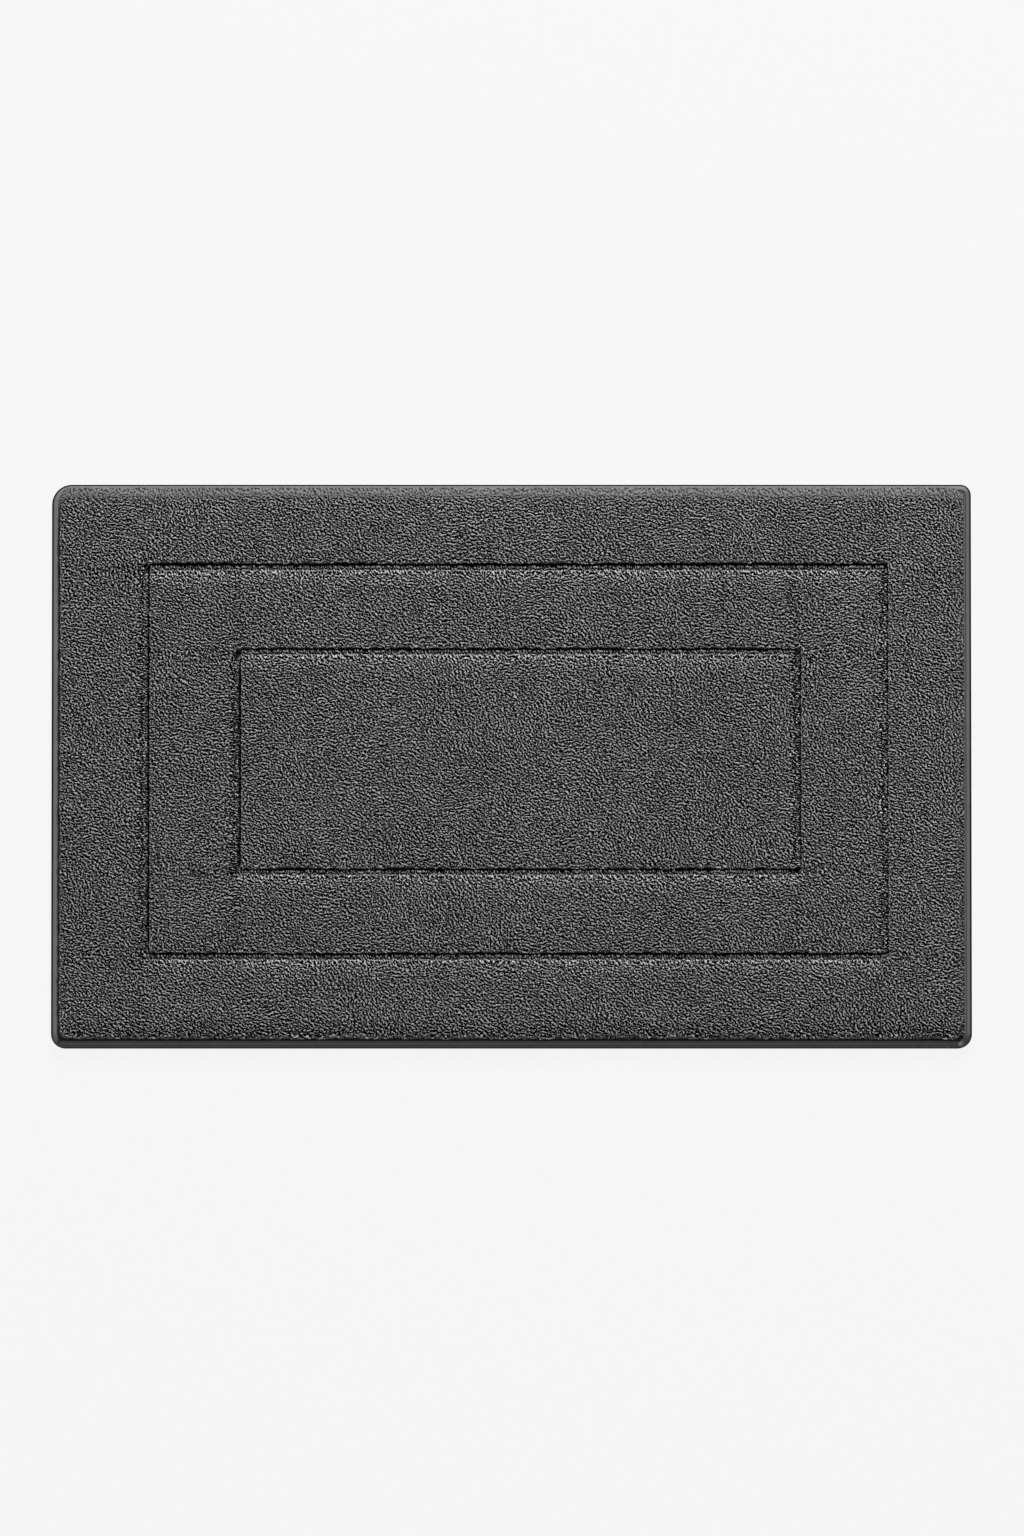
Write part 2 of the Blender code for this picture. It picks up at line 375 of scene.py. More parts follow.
def lines(stops, steps):
    """Grid lines through every stop, about a step apart, with one step for each stretch."""
    made = [np.array([stops[0]])]
    for low, high, step in zip(stops, stops[1:], steps):
        count = max(1, round((high - low) / step))
        made.append(np.linspace(low, high, count + 1)[1:])
    return np.concatenate(made)


def outline(low, high, moves, corner):
    """A rectangle in plan: a CAD box with its left, right, front and back sides moved."""
    left, right, front, back = moves
    return Outline(low.x + left, high.x + right, low.y + front, high.y + back, corner)


def half_box(low, high):
    return (high.x - low.x) / 2, (high.y - low.y) / 2


def half_size(rect):
    return (rect.right - rect.left) / 2, (rect.back - rect.front) / 2


def middle(rect):
    return (rect.right + rect.left) / 2, (rect.back + rect.front) / 2


def edge_profile(s, height, roll):
    """Inset, height and turn on a field's side, s metres along its surface up from the foot."""
    wall = height - roll
    turn = np.clip((s - wall) / roll, 0.0, math.pi / 2)
    inset = roll * (1 - np.cos(turn)) + np.maximum(s - wall - roll * math.pi / 2, 0.0)
    up = np.minimum(s, wall) + roll * np.sin(turn)
    return inset, up, turn


def wrap_side(x, y, s, half, corner, top_s, grown, height, roll, hole):
    """Moves the grid points of a field's side from the flat grid onto the real wall and rolled edge.

    Returns the points, their height, the direction that their side faces in plan, and their turn.
    """
    inset, up, turn = edge_profile(s, height, roll)
    way = -1.0 if hole else 1.0
    shrink = 1.5 * corner if hole else max(corner, roll)
    radius = corner * np.clip(1 - inset / shrink, 0.0, 1.0)
    real_x, real_y = half[0] - way * inset, half[1] - way * inset
    grid_x, grid_y = half[0] + way * (grown - s), half[1] + way * (grown - s)
    ax, ay = np.abs(x), np.abs(y)
    on_end = (ax - grid_x) > (ay - grid_y)
    run = np.where(on_end, ay, ax)
    run_grid = np.where(on_end, grid_y, grid_x)
    straight = np.where(on_end, real_y, real_x) - radius
    bend = np.clip((run - straight) / np.maximum(run_grid - straight, 1e-9), 0.0, 1.0) * math.pi / 4
    round_it = run >= straight
    bend = np.where(round_it, bend, 0.0)
    along = np.where(round_it, straight + radius * np.sin(bend), run)
    across = radius * (1 - np.cos(bend))
    near = s < top_s
    new_x = np.where(near, np.where(on_end, real_x - across, along), ax)
    new_y = np.where(near, np.where(on_end, along, real_y - across), ay)
    face_x = np.sign(x) * way * np.where(on_end, np.cos(bend), np.sin(bend)) * near
    face_y = np.sign(y) * way * np.where(on_end, np.sin(bend), np.cos(bend)) * near
    up = np.where(near, up, height)
    turn = np.where(near, turn, math.pi / 2)
    return np.copysign(new_x, x), np.copysign(new_y, y), up, face_x, face_y, turn


def field_grid(outside, hole, grown, steps):
    """A flat grid over a field, grown by the length of its walls, without the cells of its hole."""
    (hx, hy), (step_x, step_y, step_wall) = half_size(outside), steps
    px, py = hx + grown, hy + grown
    stops_x, stops_y = [-px, -px + grown, px - grown, px], [-py, -py + grown, py - grown, py]
    steps_x, steps_y = [step_wall, step_x, step_wall], [step_wall, step_y, step_wall]
    qx = qy = None
    if hole:
        gx, gy = half_size(hole)
        qx, qy = gx - grown, gy - grown
        stops_x[2:2] = [-qx - grown, -qx, qx, qx + grown]
        stops_y[2:2] = [-qy - grown, -qy, qy, qy + grown]
        steps_x[2:2] = [step_wall, step_x, step_wall, step_x]
        steps_y[2:2] = [step_wall, step_y, step_wall, step_y]
    xs, ys = lines(stops_x, steps_x), lines(stops_y, steps_y)
    x, y = np.meshgrid(xs, ys, indexing="ij")
    keep = np.ones(x.shape, bool)
    if hole:
        keep = np.maximum(np.abs(x) - qx, np.abs(y) - qy) > -1e-7
    index = np.full(x.shape, -1)
    index[keep] = np.arange(keep.sum())
    cells = index[:-1, :-1], index[1:, :-1], index[1:, 1:], index[:-1, 1:]
    whole = (np.stack(cells) >= 0).all(axis=0)
    if hole:
        mx, my = np.meshgrid((xs[1:] + xs[:-1]) / 2, (ys[1:] + ys[:-1]) / 2, indexing="ij")
        whole &= ~((np.abs(mx) < qx) & (np.abs(my) < qy))
    quads = np.stack([cell[whole] for cell in cells], axis=1)
    caps = bottom_caps(index, xs, ys, (qx, qy) if hole else None)
    return x[keep], y[keep], quads, caps, (px, py), (qx, qy)


def bottom_caps(index, xs, ys, hole):
    """Flat faces under a field: one for a panel, and four mitred ones for a frame."""
    last_x, last_y = len(xs) - 1, len(ys) - 1
    if hole is None:
        loop = [index[:, 0], index[last_x, 1:], index[-2::-1, last_y], index[0, -2:0:-1]]
        return [np.concatenate(loop)[::-1]]
    i0, i1 = (int(np.argmin(np.abs(xs - side * hole[0]))) for side in (-1, 1))
    j0, j1 = (int(np.argmin(np.abs(ys - side * hole[1]))) for side in (-1, 1))
    front = np.concatenate([index[:, 0], index[i0 : i1 + 1, j0][::-1]])
    right = np.concatenate([index[last_x, :], index[i1, j0 : j1 + 1][::-1]])
    back = np.concatenate([index[::-1, last_y], index[i0 : i1 + 1, j1]])
    left = np.concatenate([index[0, ::-1], index[i0, j0 : j1 + 1]])
    return [side[::-1] for side in (front, right, back, left)]


def bulge(up, turn, lying, run, cut, height):
    """Height, levelness and lean on a wall that has a round rim and bulges out and drops where it is cut."""
    level = np.cos(turn) / np.hypot(1.0, lying)
    lean = np.clip(1 - up / height, 0.0, 1.0) ** LEAN_POWER
    tilt = SLOPE_BULGE * run ** (SLOPE_BULGE - 1) / np.maximum(lying, 0.1)
    level = blend(level, tilt / np.hypot(1.0, tilt), cut)
    up = blend(up, height * (1 - run**SLOPE_BULGE), cut)
    return up, level, blend(lean, run, cut)


def tuft_tips(u, v, tables, seed, carved, parting, calm):
    """How far each point stands up, from 0 down in a hollow between tufts to 1 at a tip; the yarn's painted
    shade follows it.
    """
    swing = GRAIN_SWING * (smooth_noise(u, v, 0.03, seed) - 0.5)
    grain = (1 - COMB_SHARE * carved) * read_grain(tables[0], u, v, swing)
    grain = grain + (CURL_SHARE + COMB_SHARE * carved) * read_grain(tables[1], u, v, swing)
    grain = grain * (1 - calm * patches(u, v, seed + 1))
    grain = grain * (1 + (SLOPE_GRAIN - 1) * parting / SLOPE_BIAS) + GRAIN_BIAS - parting
    return 0.5 + 0.5 * np.tanh(GRAIN_SHARPNESS * grain)


def rim_wander(u, v, seed):
    """How far a ragged rim wanders in or out, from -1 to 1."""
    fine, broad = smooth_noise(u, v, 0.0035, seed), smooth_noise(u, v, 0.022, seed + 1)
    return np.clip(RAGGED_FINE * fine + RAGGED_BROAD * broad - RAGGED_MIDDLE, -1.0, 1.0)


def wall_shade(place, along_y, shade_x, shade_y):
    """Painted shade and painted highlight at a place on a wall, between those of walls that face along X and
    along Y.
    """
    return np.interp(place, *shade_x) * (1 - along_y) + np.interp(place, *shade_y) * along_y


def tufted_field(
    name, outside, hole, material, foot_z, height, seed, depth, roll, tables,
    slopes=((0.0, 0.0), (0.0, 0.0)), undercut=0.0, crown=0.0, calm=0.0,
    soft=(), parted=(), rims=(), spill=None, steps=(STEP_X, STEP_Y, STEP_WALL),
):
    """A field of tufts. outside and hole are the outlines of its walls at the top."""
    top_s = (height - roll) + roll * math.pi / 2
    grown = top_s - roll
    x, y, quads, caps, (px, py), (qx, qy) = field_grid(outside, hole, grown, steps)
    s = s_out = np.minimum(px - np.abs(x), py - np.abs(y))
    sides = wrap_side(x, y, s_out, half_size(outside), outside.corner, top_s, grown, height, roll, False)
    shift_x, shift_y = middle(outside)
    slope_x, slope_y = slopes[0]
    if hole:
        s_in = np.maximum(np.abs(x) - qx, np.abs(y) - qy)
        inner = wrap_side(x, y, s_in, half_size(hole), hole.corner, top_s, grown, height, roll, True)
        at_hole = s_in < s_out
        sides = [np.where(at_hole, b, a) for a, b in zip(sides, inner)]
        s = np.minimum(s_out, s_in)
        inward = s_out / np.maximum(s_out + s_in, 1e-9)
        hole_x, hole_y = middle(hole)
        shift_x, shift_y = blend(shift_x, hole_x, inward), blend(shift_y, hole_y, inward)
        slope_x = np.where(at_hole, slopes[1][0], slope_x)
        slope_y = np.where(at_hole, slopes[1][1], slope_y)
    rx, ry, up, face_x, face_y, turn = sides
    rx, ry = rx + shift_x, ry + shift_y
    along_y = np.clip(np.abs(face_y) * 1.4, 0.0, 1.0)

    lying = (slope_x * np.maximum(face_x, 0.0) + slope_y * np.maximum(face_y, 0.0)) / height
    cut = np.clip(2.5 * lying, 0.0, 1.0) * ((s != s_out) if spill else 1.0)
    run = np.clip(1 - s / top_s, 0.0, 1.0) ** SLOPE_RUN
    up, level, lean = bulge(up, turn, lying, run, cut, height)

    # The pattern moves slower down a wall, so its tufts are drawn out along it.
    carved = cut * np.clip(5 * run, 0.0, 1.0)
    draw = blend(WALL_DRAW, SLOPE_DRAW, carved > 0)
    u, v = rx + (x + shift_x - rx) * draw, ry + (y + shift_y - ry) * draw
    smooth = brushed((rx, ry), soft)
    parting = np.maximum(SLOPE_BIAS * carved, brushed((rx, ry), parted))
    tip = blend(tuft_tips(u, v, tables, seed, carved, parting, calm), SMOOTH_TIP, smooth)
    # Tips raised in a line along a rim: fuller tufts there, and through the tip colours a painted highlight.
    line, wide, share, crest = RIM_LINE
    tip = tip + (crest - tip) * share * np.exp(-(((run - line) / wide) ** 2)) * along_y * cut

    rx = rx + lean * (slope_x * np.maximum(face_x, 0.0) + undercut * np.maximum(-face_x, 0.0))
    ry = ry + lean * (slope_y * np.maximum(face_y, 0.0) + undercut * np.maximum(-face_y, 0.0))
    amount = np.where(s == s_out, 1.0, GROOVE_RAGGED) if spill else GROOVE_RAGGED
    ragged = rim_wander(u, v, seed + 3) * amount
    rx = rx + RAGGED[0] * ragged * np.minimum(face_x, 0.0) * (1 - lean) * (undercut > 0)
    ry = ry + RAGGED[1] * ragged * np.minimum(face_y, 0.0) * (1 - lean) * (undercut > 0)
    if spill:
        over_tape = np.clip(up / (0.7 * MM) - 1.6, 0.0, 1.0)
        rx = np.minimum(rx, outer_high.x + spill[0] * over_tape)
        ry = np.minimum(ry, outer_high.y + spill[1] * over_tape)
    foot = np.clip(up / (2.0 * MM), 0.0, 1.0)
    swell = 0.5 * MM * (smooth_noise(u, v, 0.03, seed + 2) - 0.5)
    dip = crown * np.exp(-np.maximum(s - top_s, 0.0) / CROWN_REACH) * (up / height) ** 2
    sink = depth * (1 - tip) * foot
    upright = np.sqrt(1 - level**2)
    z = up - dip + swell * foot - sink * upright
    bow = GRAIN_LEAN * tip * foot * upright * (undercut > 0)
    points = np.stack(
        [rx - bow - face_x * level * sink, ry - bow - face_y * level * sink, foot_z + z], axis=1
    )
    flat = np.stack([x + px, y + py], axis=1) / np.array([2 * px, 2 * py])

    def uv(corners, top_loops):
        where = 0.03 + 0.97 * flat[corners]
        where[top_loops:] = flat[corners[top_loops:]] * np.array([1.0, 0.02])
        return where

    # Painted shade and highlight, stored as the yarn's shade: darker down walls and slopes, none on brushed
    # outer walls
    shade = wall_shade(up / height, along_y, WALL_SHADE_X, WALL_SHADE_Y)
    shade = blend(shade, wall_shade(run, along_y, SLOPE_SHADE_X, SLOPE_SHADE_Y), cut)
    shade = shade + (1 - shade) * np.clip(smooth * 1.5, 0.0, 1.0) * (s == s_out) * (1 - cut)
    # A painted highlight on the strips behind rims that face the light.
    shade = shade * (1 + RIM_PAINTED_LIGHT * painted_rim_light(rx, ry, rims))
    return new_piece(name, points, quads, caps, material, uv, {"tip": tip, "shade": shade})


def brushed(places, bands):
    """How much the pile is brushed flat, from 0 to 1.

    Each band has an axis, an amount, a place on that axis, and how far it reaches before and beyond that.
    """
    flat = np.zeros(places[0].shape)
    for axis, amount, line, before, beyond in bands:
        away = places[axis] - line
        reach = np.where(away < 0, before, beyond)
        flat = np.maximum(flat, amount * np.exp(-((away / reach) ** 2)))
    return np.minimum(flat, BRUSHED_MOST)


def painted_rim_light(x, y, rims):
    """A painted highlight on the soft strips behind rims that face the back of the mat, where the light
    falls. A rim is its Y, left end and right end.
    """
    soft = np.zeros(x.shape)
    for rim, left, right in rims:
        away = y - rim + ROLL / 2
        reach = np.where(away < 0, SOFT_REACH, RIM_STRIP_OUT)
        ends = np.clip((x - left) / RIM_ENDS, 0.0, 1.0) * np.clip((right - x) / RIM_ENDS, 0.0, 1.0)
        soft = np.maximum(soft, RIM_STRIP * np.exp(-((away / reach) ** 2)) * ends)
    return soft


def patches(u, v, seed):
    """Where the pile lies smoother, from 0 to 1, in patches of a centimetre or two."""
    both = smooth_noise(u, v, 0.011, seed) + smooth_noise(u, v, 0.02, seed + 50)
    return np.clip(2.2 * (both - 1.0) + 0.35, 0.0, 1.0)


def rounded(x, y, half, corner):
    """Pulls the corners of a square grid in, onto round ones."""
    a = np.clip((np.abs(x) - half[0] + corner) / corner, 0.0, 1.0)
    b = np.clip((np.abs(y) - half[1] + corner) / corner, 0.0, 1.0)
    near_x = np.abs(x) - corner * a * (1 - np.sqrt(1 - b**2 / 2))
    near_y = np.abs(y) - corner * b * (1 - np.sqrt(1 - a**2 / 2))
    return np.copysign(near_x, x), np.copysign(near_y, y)


def box_middle(low, high):
    return np.array([(low.x + high.x) / 2, (low.y + high.y) / 2])


def layer(name, low, high, corner, xs, ys, material, over=None, under=None, edge=0.1 * MM):
    """A closed sheet or slab on grid lines xs and ys. over and under say how far its faces are lifted."""
    half = half_box(low, high)
    centre = box_middle(low, high)
    grid_x, grid_y = np.meshgrid(xs, ys, indexing="ij")
    plan = np.stack(rounded(grid_x, grid_y, half, corner), axis=-1).reshape(-1, 2)
    count = len(plan)
    index = np.arange(count).reshape(grid_x.shape)
    heights = []
    for face_z, lift in ((high.z, over), (low.z, under)):
        heights.append(np.full(count, face_z) + (lift(grid_x, grid_y).ravel() if lift else 0.0))
    rim = np.concatenate([index[:, 0], index[-1, 1:], index[-2::-1, -1], index[0, -2:0:-1]])
    drawn_in = plan * (1 - edge / np.array(half))
    waist = np.column_stack([plan[rim] + centre, (heights[0][rim] + heights[1][rim]) / 2])
    points = np.concatenate([*(np.column_stack([drawn_in + centre, z]) for z in heights), waist])
    top = np.stack([index[:-1, :-1], index[1:, :-1], index[1:, 1:], index[:-1, 1:]], axis=-1).reshape(-1, 4)
    middle_ring = 2 * count + np.arange(len(rim))
    rings = (rim + count, middle_ring, rim)
    sides = [np.stack([a, np.roll(a, -1), np.roll(b, -1), b], axis=1) for a, b in zip(rings, rings[1:])]
    quads = np.concatenate([top, top[:, ::-1] + count, *sides])
    flat = plan / (2 * np.array(half)) + 0.5
    flat = np.concatenate([flat, flat, flat[rim]])

    def uv(corners, all_loops):
        where = flat[corners].copy()
        faces = np.repeat([0, 1, 2], [4 * len(top), 4 * len(top), all_loops - 8 * len(top)])
        starts, shares = np.array([0.51, 0.02, 0.0]), np.array([0.49, 0.48, 0.01])
        where[:, 1] = starts[faces] + shares[faces] * where[:, 1]
        return where

    return new_piece(name, points, quads, [], material, uv)


# ---------------------------------------------------------------- materials


def new_material(name, colour, roughness, **sockets):
    material = bpy.data.materials.new(name)
    material.use_nodes = True
    tree = material.node_tree
    shader = tree.nodes["Principled BSDF"]
    shader.inputs["Base Color"].default_value = (*colour, 1.0)
    shader.inputs["Roughness"].default_value = roughness
    for socket, value in sockets.items():
        shader.inputs[socket.replace("_", " ")].default_value = value
    return material, tree, shader


def node(tree, kind, **settings):
    made = tree.nodes.new(kind)
    for key, value in settings.items():
        if key in made.inputs:
            made.inputs[key].default_value = value
        else:
            setattr(made, key, value)
    return made


def compute(tree, operation, *values):
    """The result of a Math node. Each value is a number, or the output that feeds it."""
    made = node(tree, "ShaderNodeMath", operation=operation)
    for slot, value in zip(made.inputs, values):
        if isinstance(value, float):
            slot.default_value = value
        else:
            tree.links.new(value, slot)
    return made.outputs[0]


def from_wave(tree, wave):
    """A wave that runs from -1 to 1, brought to run from 0 to 1."""
    height = node(tree, "ShaderNodeMapRange", **{"From Min": -1.0})
    tree.links.new(wave, height.inputs["Value"])
    return height.outputs["Result"]


def attribute(tree, name, output="Fac"):
    return node(tree, "ShaderNodeAttribute", attribute_name=name).outputs[output]


def ramp(tree, source, stops):
    """A colour ramp fed by source. stops are (place, grey) pairs."""
    made = node(tree, "ShaderNodeValToRGB")
    while len(made.color_ramp.elements) < len(stops):
        made.color_ramp.elements.new(0.5)
    for element, (place, grey) in zip(made.color_ramp.elements, stops):
        element.position = place
        element.color = (grey, grey, grey, 1.0)
    tree.links.new(source, made.inputs["Fac"])
    return made.outputs["Color"]


def multiply(tree, a, b):
    made = node(tree, "ShaderNodeMix", data_type="RGBA", blend_type="MULTIPLY", Factor=1.0)
    tree.links.new(a, made.inputs["A"])
    tree.links.new(b, made.inputs["B"])
    return made.outputs["Result"]


def object_noise(tree, scale, detail):
    place = node(tree, "ShaderNodeTexCoord").outputs["Object"]
    made = node(tree, "ShaderNodeTexNoise", Scale=scale, Detail=detail)
    tree.links.new(place, made.inputs["Vector"])
    return made.outputs["Fac"]


def add_bump(tree, shader, height, strength, distance):
    bump = node(tree, "ShaderNodeBump", Strength=strength, Distance=distance)
    tree.links.new(height, bump.inputs["Height"])
    tree.links.new(bump.outputs["Normal"], shader.inputs["Normal"])


def vary_roughness(tree, shader, source, low, high):
    rough = node(tree, "ShaderNodeMapRange", **{"To Min": low, "To Max": high})
    tree.links.new(source, rough.inputs["Value"])
    tree.links.new(rough.outputs["Result"], shader.inputs["Roughness"])


def yarn_material(name, dark, middle_grey, light):
    """Curly yarn, fuzzy at the tips, painted dark down between the tufts as painted shade, paler at the tips.
    """
    material, tree, shader = new_material(
        name, (light, light, light), 0.92, Sheen_Weight=0.05, Sheen_Roughness=0.5, Specular_IOR_Level=0.0
    )
    # Painted shade by tip height: near black down between the tufts, pale at the tips.
    stops = [(0.0, dark * 0.5), (0.44, dark), (0.68, middle_grey), (1.0, light)]
    body = ramp(tree, attribute(tree, "tip"), stops)
    patch = ramp(tree, object_noise(tree, 28.0, 3.0), [(0.3, 0.93), (0.7, 1.07)])
    fibre = object_noise(tree, 1500.0, 3.0)
    fibres = ramp(tree, fibre, [(0.3, 0.85), (0.7, 1.15)])
    # Times the painted shade and highlight stored on the piece.
    shaded_body = multiply(tree, body, attribute(tree, "shade", "Color"))
    colour = multiply(tree, shaded_body, multiply(tree, patch, fibres))
    tree.links.new(colour, shader.inputs["Base Color"])
    vary_roughness(tree, shader, fibre, 0.85, 1.0)
    add_bump(tree, shader, fibre, 1.0, 0.8 * MM)
    return material


def tape_material():
    """Smooth binding tape: a fine twill, with painted shade at its shoulder, a painted shadow at its heel,
    and sides painted by how they face the light.
    """
    material, tree, shader = new_material(
        "edge_tape", (0.12, 0.12, 0.122), 0.82, Sheen_Weight=0.05, Specular_IOR_Level=0.0
    )
    # The tape's colour by its painted shading, from pale to near black.
    body = ramp(tree, attribute(tree, "painted_shading"), [(0.0, 0.28), (0.12, 0.185), (0.3, 0.10), (0.9, 0.005)])
    slant = compute(tree, "ADD", attribute(tree, "run"), attribute(tree, "across"))
    turns = compute(tree, "MULTIPLY", slant, 2 * math.pi / TWILL_PITCH)
    twill = from_wave(tree, compute(tree, "SINE", turns))
    ribs = ramp(tree, twill, [(0.0, 0.94), (1.0, 1.06)])
    patch = ramp(tree, object_noise(tree, 40.0, 2.0), [(0.3, 0.95), (0.7, 1.05)])
    fibre = object_noise(tree, 1800.0, 2.0)
    tree.links.new(multiply(tree, multiply(tree, body, patch), ribs), shader.inputs["Base Color"])
    vary_roughness(tree, shader, fibre, 0.74, 0.9)
    add_bump(tree, shader, twill, 0.15, 0.1 * MM)
    return material


def object_wave(tree, axis, pitch):
    """A sine along one axis of the mat, from -1 to 1."""
    place = node(tree, "ShaderNodeSeparateXYZ")
    tree.links.new(node(tree, "ShaderNodeTexCoord").outputs["Object"], place.inputs["Vector"])
    return compute(tree, "SINE", compute(tree, "MULTIPLY", place.outputs[axis], 2 * math.pi / pitch))


def crossed(tree, pitch_x, pitch_y):
    """Threads that pass over and under each other, from 0 to 1."""
    waves = object_wave(tree, "X", pitch_x), object_wave(tree, "Y", pitch_y)
    return from_wave(tree, compute(tree, "MULTIPLY", *waves))


def shaded(tree, shader, *shades):
    """Multiplies the base colour by every shade."""
    mixed = ramp(tree, object_noise(tree, 35.0, 3.0), [(0.3, 0.93), (0.7, 1.07)])
    for shade in shades:
        mixed = multiply(tree, mixed, shade)
    base = node(tree, "ShaderNodeRGB").outputs["Color"]
    base.default_value = shader.inputs["Base Color"].default_value
    tree.links.new(multiply(tree, mixed, base), shader.inputs["Base Color"])


def thread_material():
    """Two-ply sewing thread: the plies wind round each stitch."""
    material, tree, shader = new_material("seam_thread", (0.095, 0.095, 0.097), 0.55, Sheen_Weight=0.2)
    plies = from_wave(tree, compute(tree, "SINE", attribute(tree, "ply")))
    shaded(tree, shader, ramp(tree, plies, [(0.0, 0.55), (1.0, 1.15)]))
    vary_roughness(tree, shader, plies, 0.7, 0.5)
    add_bump(tree, shader, plies, 0.5, 0.1 * MM)
    return material


def cloth_material(name, colour, pitch_x, pitch_y, contrast, roughness, bump):
    """Plain woven cloth with fuzz between its threads."""
    material, tree, shader = new_material(name, colour, roughness, Sheen_Weight=0.1)
    weave = crossed(tree, pitch_x, pitch_y)
    fibre = object_noise(tree, 1800.0, 3.0)
    shaded(
        tree, shader,
        ramp(tree, weave, [(0.0, 1 - contrast), (1.0, 1 + contrast / 3)]),
        ramp(tree, fibre, [(0.3, 0.92), (0.7, 1.06)]),
    )
    vary_roughness(tree, shader, fibre, roughness - 0.08, roughness + 0.08)
    add_bump(tree, shader, weave, bump, 0.25 * MM)
    return material


def latex_material():
    """A thin coat spread with a blade: faint streaks, pinholes and a dull skin."""
    material, tree, shader = new_material("lock_latex", (0.30, 0.295, 0.28), 0.55)
    streak = object_noise(tree, 140.0, 4.0)
    pit = object_noise(tree, 900.0, 2.0)
    shaded(
        tree, shader,
        ramp(tree, streak, [(0.3, 0.88), (0.7, 1.08)]),
        ramp(tree, pit, [(0.28, 0.6), (0.36, 1.0)]),
    )
    vary_roughness(tree, shader, streak, 0.45, 0.7)
    add_bump(tree, shader, streak, 0.4, 0.3 * MM)
    return material


def foam_material():
    """Open-cell foam: round cells with paler walls between them."""
    material, tree, shader = new_material("cushion_foam", (0.42, 0.42, 0.41), 0.9)
    cells = node(tree, "ShaderNodeTexVoronoi", Scale=900.0)
    tree.links.new(node(tree, "ShaderNodeTexCoord").outputs["Object"], cells.inputs["Vector"])
    walls = cells.outputs["Distance"]
    shaded(tree, shader, ramp(tree, walls, [(0.05, 0.45), (0.45, 1.0), (0.8, 1.1)]))
    vary_roughness(tree, shader, walls, 0.82, 1.0)
    add_bump(tree, shader, walls, 0.6, 0.4 * MM)
    return material


def rubber_material():
    """Moulded anti-slip latex: a fine pebble grain, a little shinier on the high spots."""
    material, tree, shader = new_material(
        "grip_rubber", (0.055, 0.055, 0.057), 0.5, Specular_IOR_Level=0.45
    )
    pebble = object_noise(tree, 1100.0, 2.0)
    dust = object_noise(tree, 220.0, 4.0)
    shaded(
        tree, shader,
        ramp(tree, pebble, [(0.3, 0.85), (0.7, 1.1)]),
        ramp(tree, dust, [(0.4, 1.0), (0.75, 1.25)]),
    )
    vary_roughness(tree, shader, dust, 0.4, 0.62)
    add_bump(tree, shader, pebble, 0.35, 0.15 * MM)
    return material


make_camera()
make_floor()
make_world()
make_softbox("key_light", *KEY_LIGHT)
make_softbox("front_light", *FRONT_LIGHT)

pile_yarn = yarn_material("pile_yarn", 0.002, 0.030, 0.45)
# The loop yarn is painted darker than the pile, a painted shade for the deep channels
loop_yarn = yarn_material("loop_yarn", 0.008, 0.02, 0.12)

GRAIN = grain_tables(GRAIN_WAVE, 101), grain_tables(CURL_WAVE, 201)

# ---------------------------------------------------------------- pile fields and channel loops

outer_low, outer_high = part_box("outer_pile_frame")
groove_low, groove_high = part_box("outer_channel_loops")
middle_low, middle_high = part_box("middle_pile_frame")
inner_groove_low, inner_groove_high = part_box("inner_channel_loops")
centre_low, centre_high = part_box("centre_pile_panel")

outer_move = (-0.3 * MM, SPILL[0] - SLOPE_OUTER[0], -1.0 * MM, SPILL[1] - SLOPE_OUTER[1])
outer_outside = outline(outer_low, outer_high, outer_move, 7.0 * MM)
outer_hole = outline(groove_low, groove_high, OUTER_HOLE_MOVE, RIM_CORNER)
middle_outside = outline(middle_low, middle_high, MIDDLE_MOVE, RIM_CORNER)
middle_hole = outline(inner_groove_low, inner_groove_high, MIDDLE_HOLE_MOVE, RIM_CORNER)
centre_outside = outline(centre_low, centre_high, CENTRE_MOVE, RIM_CORNER)


def back_rim(around, side):
    """A rim that faces the back of the mat: its Y, its left end and its right end."""
    return getattr(around, side), around.left, around.right


PILE = dict(
    material=pile_yarn,
    foot_z=outer_low.z,
    height=outer_high.z - outer_low.z,
    depth=GRAIN_DEPTH,
    roll=ROLL,
    tables=GRAIN,
    undercut=UNDERCUT,
    crown=CROWN_DROP,
    calm=PILE_CALM,
)
outer_pile = tufted_field(
    "outer_pile", outer_outside, outer_hole, seed=11, slopes=(SLOPE_OUTER, SLOPE_GROOVE),
    soft=[
        (1, 0.8, outer_outside.back, 0.6 * SOFT_REACH, 1.0),
        (0, 0.5, outer_high.x + SPILL[0], SOFT_REACH, 1.0),
    ],
    # Tufts part along the front edge: deeper hollows, and a painted shade there through the tip colours
    parted=[(1, 0.25, outer_low.y, 1.0, 9.0 * MM)],
    rims=[back_rim(outer_hole, "front")], spill=SPILL, **PILE
)
middle_pile = tufted_field(
    "middle_pile", middle_outside, middle_hole, seed=22, slopes=(SLOPE_GROOVE, SLOPE_GROOVE),
    rims=[back_rim(middle_outside, "back"), back_rim(middle_hole, "front")], **PILE
)
centre_pile = tufted_field(
    "centre_pile", centre_outside, None, seed=33, slopes=(SLOPE_GROOVE, SLOPE_GROOVE),
    rims=[back_rim(centre_outside, "back")], **PILE
)
for piece, cad_node in (
    (outer_pile, "outer_pile_frame"),
    (middle_pile, "middle_pile_frame"),
    (centre_pile, "centre_pile_panel"),
):
    place(piece, "pile_yarn", cad_node)

# ---------------------------------------------------------------- channel loops


def loops_outline(around, hole):
    """The foot of a field's wall, where the loops of the channel meet it. hole: the wall is round a hole."""
    (left, front), side = (slope + CLEAR for slope in SLOPE_GROOVE), UNDERCUT - CLEAR
    moves = (left, side, front, side) if hole else (side, left, side, front)
    sides = [value + move for value, move in zip(around[:4], moves)]
    return Outline(*sides, around.corner)


